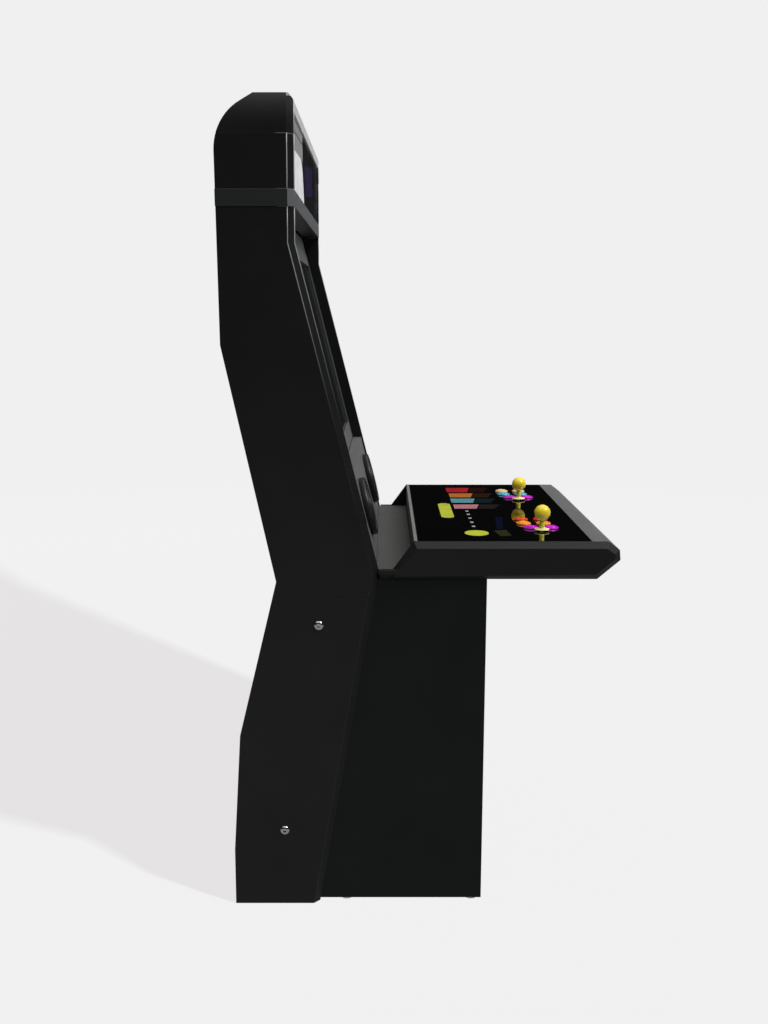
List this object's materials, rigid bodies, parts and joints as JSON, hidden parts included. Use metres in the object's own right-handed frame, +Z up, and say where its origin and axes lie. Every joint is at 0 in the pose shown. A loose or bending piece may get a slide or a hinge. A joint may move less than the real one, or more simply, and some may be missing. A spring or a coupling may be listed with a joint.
{
  "type": "arcade cabinet",
  "caption": "Upright arcade cabinet with a leaning screen, a bevelled control panel on a plain base box, ball-top joysticks, push buttons and a rear service door.",
  "frame": {"origin": "on the floor, under the centre of the outer box", "axes": "+Z up, -Y to the front where the players stand, +X to the player's right"},
  "size_m": [0.7632, 0.823, 1.7],
  "materials": {
    "side_laminate": "black satin laminate on board",
    "base_laminate": "black textured laminate on board",
    "trim_plastic": "dark grey satin plastic",
    "back_board": "black painted board",
    "bezel_board": "grey satin plastic",
    "black_plastic": "black moulded plastic",
    "screen": "black screen glass",
    "marquee_acrylic": "dark printed acrylic",
    "deck_grey": "grey satin laminate",
    "panel_gloss": "black mirror-gloss acrylic over a printed panel",
    "zinc_steel": "zinc-plated steel",
    "computer_case": "dark grey case",
    "white_plastic": "off-white plastic",
    "chrome": "polished chrome",
    "yellow_plastic": "yellow gloss plastic",
    "magenta_plastic": "magenta gloss plastic",
    "orange_plastic": "orange gloss plastic",
    "red_plastic": "red gloss plastic",
    "cyan_plastic": "cyan gloss plastic",
    "cream_plastic": "cream-orange gloss plastic"
  },
  "bodies": {
    "cabinet": {"left_base_side": "side_laminate", "right_base_side": "side_laminate", "left_upper_side": "side_laminate", "right_upper_side": "side_laminate", "left_hood_side": "side_laminate", "right_hood_side": "side_laminate", "hood_cap": "side_laminate", "trim_band": "trim_plastic", "marquee_panel": "marquee_acrylic", "marquee_light": "white_plastic", "monitor_bezel": "bezel_board", "lcd_monitor": "screen", "monitor_bracket": "zinc_steel", "speaker_panel": "bezel_board", "left_speaker_cover": "black_plastic", "right_speaker_cover": "black_plastic", "left_speaker_driver": "black_plastic", "right_speaker_driver": "black_plastic", "upper_back_panel": "back_board", "base_back_panel": "back_board", "power_inlet": "black_plastic", "base_left_panel": "base_laminate", "base_right_panel": "base_laminate", "base_front_panel": "base_laminate", "base_floor": "back_board", "computer": "computer_case", "front_left_glide": "white_plastic", "front_right_glide": "white_plastic", "middle_left_glide": "white_plastic", "middle_right_glide": "white_plastic", "upper_left_bolt": "chrome", "upper_right_bolt": "chrome", "lower_left_bolt": "chrome", "lower_right_bolt": "chrome", "panel_left_side": "side_laminate", "panel_right_side": "side_laminate", "panel_front_rail": "trim_plastic", "panel_tray": "side_laminate", "deck_panel": "deck_grey", "panel_plate": "panel_gloss", "left_stick_housing": "black_plastic", "right_stick_housing": "black_plastic"},
    "service_door": {"service_door": "back_board"},
    "door_lock": {"door_lock": "chrome"},
    "left_stick_ring": {"left_stick_ring": "zinc_steel"},
    "left_stick_lever": {"left_stick_lever": "yellow_plastic"},
    "left_button_1": {"left_button_1": "magenta_plastic"},
    "left_button_2": {"left_button_2": "orange_plastic"},
    "left_button_3": {"left_button_3": "red_plastic"},
    "left_button_4": {"left_button_4": "magenta_plastic"},
    "left_button_5": {"left_button_5": "orange_plastic"},
    "left_button_6": {"left_button_6": "red_plastic"},
    "right_stick_ring": {"right_stick_ring": "zinc_steel"},
    "right_stick_lever": {"right_stick_lever": "yellow_plastic"},
    "right_button_1": {"right_button_1": "magenta_plastic"},
    "right_button_2": {"right_button_2": "cyan_plastic"},
    "right_button_3": {"right_button_3": "cream_plastic"},
    "right_button_4": {"right_button_4": "magenta_plastic"},
    "right_button_5": {"right_button_5": "cyan_plastic"},
    "right_button_6": {"right_button_6": "cream_plastic"}
  },
  "joints": [
    {"name": "service_door_hinge", "type": "hinge", "parent": "cabinet", "child": "service_door", "pos_m": [0.36, 0.30946, 0.73759], "axis": [0, -0.204, -0.979], "range_deg": [0, 110]},
    {"name": "door_lock_turn", "type": "hinge", "parent": "service_door", "child": "door_lock", "pos_m": [0, 0.40063, 1.18486], "axis": [0, 0.979, -0.204], "range_deg": [0, 90]},
    {"name": "left_stick_forward", "type": "hinge", "parent": "cabinet", "child": "left_stick_ring", "pos_m": [-0.26, -0.262, 0.802], "axis": [1, 0, 0], "range_deg": [-8, 8], "stiffness_Nm_per_rad": 0.4},
    {"name": "left_stick_sideways", "type": "hinge", "parent": "left_stick_ring", "child": "left_stick_lever", "pos_m": [-0.26, -0.262, 0.802], "axis": [0, 1, 0], "range_deg": [-8, 8], "stiffness_Nm_per_rad": 0.4},
    {"name": "left_button_1_press", "type": "slide", "parent": "cabinet", "child": "left_button_1", "axis": [0, 0, -1], "range_m": [0, 0.003], "stiffness_N_per_m": 250, "springref_m": -0.004},
    {"name": "left_button_2_press", "type": "slide", "parent": "cabinet", "child": "left_button_2", "axis": [0, 0, -1], "range_m": [0, 0.003], "stiffness_N_per_m": 250, "springref_m": -0.004},
    {"name": "left_button_3_press", "type": "slide", "parent": "cabinet", "child": "left_button_3", "axis": [0, 0, -1], "range_m": [0, 0.003], "stiffness_N_per_m": 250, "springref_m": -0.004},
    {"name": "left_button_4_press", "type": "slide", "parent": "cabinet", "child": "left_button_4", "axis": [0, 0, -1], "range_m": [0, 0.003], "stiffness_N_per_m": 250, "springref_m": -0.004},
    {"name": "left_button_5_press", "type": "slide", "parent": "cabinet", "child": "left_button_5", "axis": [0, 0, -1], "range_m": [0, 0.003], "stiffness_N_per_m": 250, "springref_m": -0.004},
    {"name": "left_button_6_press", "type": "slide", "parent": "cabinet", "child": "left_button_6", "axis": [0, 0, -1], "range_m": [0, 0.003], "stiffness_N_per_m": 250, "springref_m": -0.004},
    {"name": "right_stick_forward", "type": "hinge", "parent": "cabinet", "child": "right_stick_ring", "pos_m": [0.122, -0.262, 0.802], "axis": [1, 0, 0], "range_deg": [-8, 8], "stiffness_Nm_per_rad": 0.4},
    {"name": "right_stick_sideways", "type": "hinge", "parent": "right_stick_ring", "child": "right_stick_lever", "pos_m": [0.122, -0.262, 0.802], "axis": [0, 1, 0], "range_deg": [-8, 8], "stiffness_Nm_per_rad": 0.4},
    {"name": "right_button_1_press", "type": "slide", "parent": "cabinet", "child": "right_button_1", "axis": [0, 0, -1], "range_m": [0, 0.003], "stiffness_N_per_m": 250, "springref_m": -0.004},
    {"name": "right_button_2_press", "type": "slide", "parent": "cabinet", "child": "right_button_2", "axis": [0, 0, -1], "range_m": [0, 0.003], "stiffness_N_per_m": 250, "springref_m": -0.004},
    {"name": "right_button_3_press", "type": "slide", "parent": "cabinet", "child": "right_button_3", "axis": [0, 0, -1], "range_m": [0, 0.003], "stiffness_N_per_m": 250, "springref_m": -0.004},
    {"name": "right_button_4_press", "type": "slide", "parent": "cabinet", "child": "right_button_4", "axis": [0, 0, -1], "range_m": [0, 0.003], "stiffness_N_per_m": 250, "springref_m": -0.004},
    {"name": "right_button_5_press", "type": "slide", "parent": "cabinet", "child": "right_button_5", "axis": [0, 0, -1], "range_m": [0, 0.003], "stiffness_N_per_m": 250, "springref_m": -0.004},
    {"name": "right_button_6_press", "type": "slide", "parent": "cabinet", "child": "right_button_6", "axis": [0, 0, -1], "range_m": [0, 0.003], "stiffness_N_per_m": 250, "springref_m": -0.004}
  ]
}
